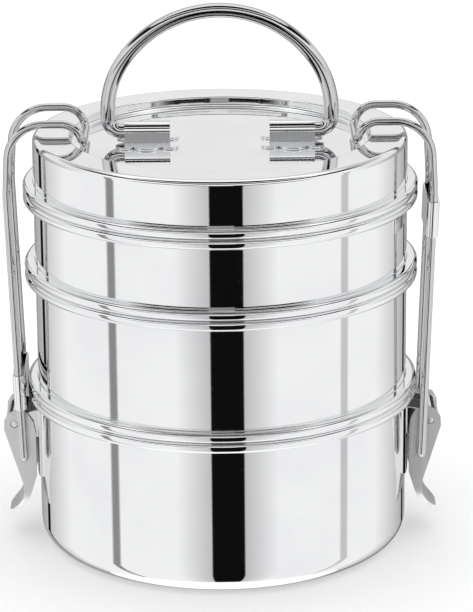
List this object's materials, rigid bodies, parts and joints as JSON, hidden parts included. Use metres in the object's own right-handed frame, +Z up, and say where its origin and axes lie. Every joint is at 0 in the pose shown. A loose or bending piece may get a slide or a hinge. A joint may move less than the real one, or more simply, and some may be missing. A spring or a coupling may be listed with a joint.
{
  "type": "tiffin carrier",
  "caption": "Stacked round lunch carrier in polished steel: nesting food containers, a dished lid with a folding wire handle, and side latches with wire bails that clamp the stack.",
  "frame": {"origin": "centre of the base, on the surface it stands on", "axes": "+Z up through the stack; X through the two side latches and along the handle's hinge line; Y front to back"},
  "size_m": [0.1472, 0.131, 0.183],
  "materials": {
    "pan_steel": "mirror-polished stainless sheet with faint polishing lines",
    "wire_steel": "polished drawn stainless wire",
    "bracket_steel": "bright pressed stainless sheet",
    "lever_steel": "satin pressed stainless sheet"
  },
  "bodies": {
    "carrier": {"bottom_container": "pan_steel", "middle_container": "pan_steel", "top_container": "pan_steel", "lid": "pan_steel", "handle_bracket_left": "bracket_steel", "handle_bracket_right": "bracket_steel", "latch_bracket_left": "bracket_steel", "latch_bracket_right": "bracket_steel", "lever_pin_left": "bracket_steel", "lever_pin_right": "bracket_steel"},
    "handle": {"handle": "wire_steel"},
    "left_lever": {"lever_left": "lever_steel"},
    "left_bail": {"bail_left": "wire_steel"},
    "left_clip": {"wire_clip_left": "bracket_steel"},
    "right_lever": {"lever_right": "lever_steel"},
    "right_bail": {"bail_right": "wire_steel"},
    "right_clip": {"wire_clip_right": "bracket_steel"}
  },
  "joints": [
    {"name": "handle_fold", "type": "hinge", "parent": "carrier", "child": "handle", "pos_m": [0, 0, 0.1403], "axis": [1, 0, 0], "range_deg": [-90, 90]},
    {"name": "left_lever_turn", "type": "hinge", "parent": "carrier", "child": "left_lever", "pos_m": [-0.07, 0, 0.0414], "axis": [0, 1, 0], "range_deg": [0, 95]},
    {"name": "left_bail_turn", "type": "hinge", "parent": "left_lever", "child": "left_bail", "pos_m": [-0.067, 0, 0.0296], "axis": [0, 1, 0], "range_deg": [-86, 0]},
    {"name": "left_clip_slide", "type": "slide", "parent": "left_bail", "child": "left_clip", "axis": [-0.0346, 0, 0.9994], "range_m": [0, 0.058]},
    {"name": "right_lever_turn", "type": "hinge", "parent": "carrier", "child": "right_lever", "pos_m": [0.07, 0, 0.0414], "axis": [0, -1, 0], "range_deg": [0, 95]},
    {"name": "right_bail_turn", "type": "hinge", "parent": "right_lever", "child": "right_bail", "pos_m": [0.067, 0, 0.0296], "axis": [0, -1, 0], "range_deg": [-86, 0]},
    {"name": "right_clip_slide", "type": "slide", "parent": "right_bail", "child": "right_clip", "axis": [0.0346, 0, 0.9994], "range_m": [-0.059, 0.002]}
  ],
  "couplings": [
    {"joint": "left_bail_turn", "follows": "left_lever_turn", "ratio": -0.905},
    {"joint": "right_bail_turn", "follows": "right_lever_turn", "ratio": -0.905}
  ]
}
